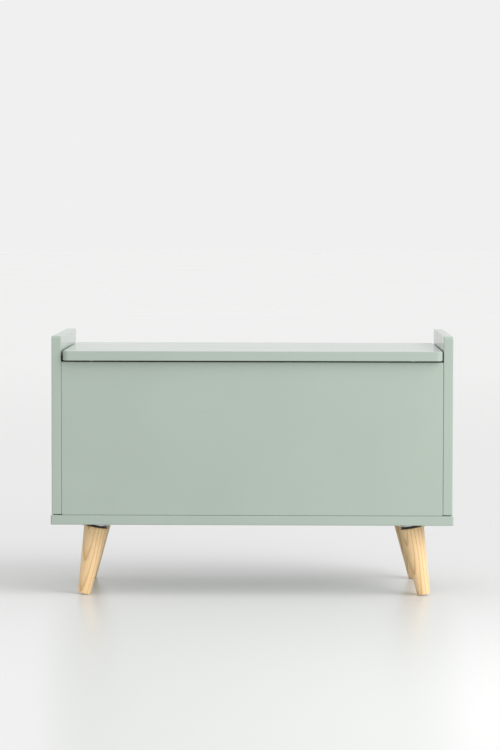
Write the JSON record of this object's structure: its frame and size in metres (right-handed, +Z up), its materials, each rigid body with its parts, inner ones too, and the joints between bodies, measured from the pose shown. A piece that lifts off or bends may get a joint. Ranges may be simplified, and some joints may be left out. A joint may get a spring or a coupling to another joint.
{
  "type": "toy box",
  "caption": "Painted-board toy box with a lift-up lid set between raised side panels, on splayed tapered round wooden legs.",
  "frame": {"origin": "on the floor, under the middle of the box's outer extents", "axes": "+X to the right as seen from the front, +Y towards the back, +Z up; the front panel faces -Y"},
  "size_m": [0.754, 0.4, 0.492],
  "materials": {
    "sage_paint": "satin sage-green paint on board",
    "pine": "clear-varnished pine",
    "black_steel": "black powder coat",
    "zinc_steel": "bright zinc plate",
    "bright_steel": "polished",
    "rubber": "soft translucent grey-white"
  },
  "bodies": {
    "carcass": {"back_panel": "sage_paint", "base_board": "sage_paint", "box_hinge_screw_left_1": "zinc_steel", "box_hinge_screw_left_2": "zinc_steel", "box_hinge_screw_right_1": "zinc_steel", "box_hinge_screw_right_2": "zinc_steel", "front_panel": "sage_paint", "hanger_bolt_back_left": "zinc_steel", "hanger_bolt_back_right": "zinc_steel", "hanger_bolt_front_left": "zinc_steel", "hanger_bolt_front_right": "zinc_steel", "hinge_box_leaf_left": "zinc_steel", "hinge_box_leaf_right": "zinc_steel", "hinge_pin_left": "zinc_steel", "hinge_pin_right": "zinc_steel", "left_side_panel": "sage_paint", "leg_back_left": "pine", "leg_back_right": "pine", "leg_front_left": "pine", "leg_front_right": "pine", "leg_plate_back_left": "zinc_steel", "leg_plate_back_right": "zinc_steel", "leg_plate_front_left": "zinc_steel", "leg_plate_front_right": "zinc_steel", "plate_screw_back_left_1": "zinc_steel", "plate_screw_back_left_2": "zinc_steel", "plate_screw_back_left_3": "zinc_steel", "plate_screw_back_left_4": "zinc_steel", "plate_screw_back_right_1": "zinc_steel", "plate_screw_back_right_2": "zinc_steel", "plate_screw_back_right_3": "zinc_steel", "plate_screw_back_right_4": "zinc_steel", "plate_screw_front_left_1": "zinc_steel", "plate_screw_front_left_2": "zinc_steel", "plate_screw_front_left_3": "zinc_steel", "plate_screw_front_left_4": "zinc_steel", "plate_screw_front_right_1": "zinc_steel", "plate_screw_front_right_2": "zinc_steel", "plate_screw_front_right_3": "zinc_steel", "plate_screw_front_right_4": "zinc_steel", "right_side_panel": "sage_paint", "strut_box_bracket_left": "zinc_steel", "strut_box_bracket_right": "zinc_steel"},
    "lid": {"hinge_lid_leaf_left": "zinc_steel", "hinge_lid_leaf_right": "zinc_steel", "left_lid_bumper": "rubber", "lid": "sage_paint", "lid_hinge_screw_left_1": "zinc_steel", "lid_hinge_screw_left_2": "zinc_steel", "lid_hinge_screw_right_1": "zinc_steel", "lid_hinge_screw_right_2": "zinc_steel", "right_lid_bumper": "rubber", "strut_lid_bracket_left": "zinc_steel", "strut_lid_bracket_right": "zinc_steel"},
    "strut_tube_left": {"strut_tube_left": "black_steel"},
    "strut_rod_left": {"strut_rod_left": "bright_steel"},
    "strut_tube_right": {"strut_tube_right": "black_steel"},
    "strut_rod_right": {"strut_rod_right": "bright_steel"}
  },
  "joints": [
    {"name": "lid_hinge", "type": "hinge", "parent": "carcass", "child": "lid", "pos_m": [0, 0.197, 0.4452], "axis": [-1, 0, 0], "range_deg": [0, 75]},
    {"name": "strut_swing_left", "type": "hinge", "parent": "carcass", "child": "strut_tube_left", "pos_m": [-0.344, 0.163, 0.4165], "axis": [-1, 0, 0], "range_deg": [0, 77.2]},
    {"name": "strut_slide_left", "type": "slide", "parent": "strut_tube_left", "child": "strut_rod_left", "axis": [0, -0.9965, 0.0838], "range_m": [0, 0.0542]},
    {"name": "strut_swing_right", "type": "hinge", "parent": "carcass", "child": "strut_tube_right", "pos_m": [0.344, 0.163, 0.4165], "axis": [-1, 0, 0], "range_deg": [0, 77.2]},
    {"name": "strut_slide_right", "type": "slide", "parent": "strut_tube_right", "child": "strut_rod_right", "axis": [0, -0.9965, 0.0838], "range_m": [0, 0.0542]}
  ],
  "couplings": [
    {"joint": "strut_swing_left", "follows": "lid_hinge", "ratio": 1.0264},
    {"joint": "strut_slide_left", "follows": "lid_hinge", "m_per_rad": 0.041122},
    {"joint": "strut_swing_right", "follows": "lid_hinge", "ratio": 1.0264},
    {"joint": "strut_slide_right", "follows": "lid_hinge", "m_per_rad": 0.041122}
  ]
}
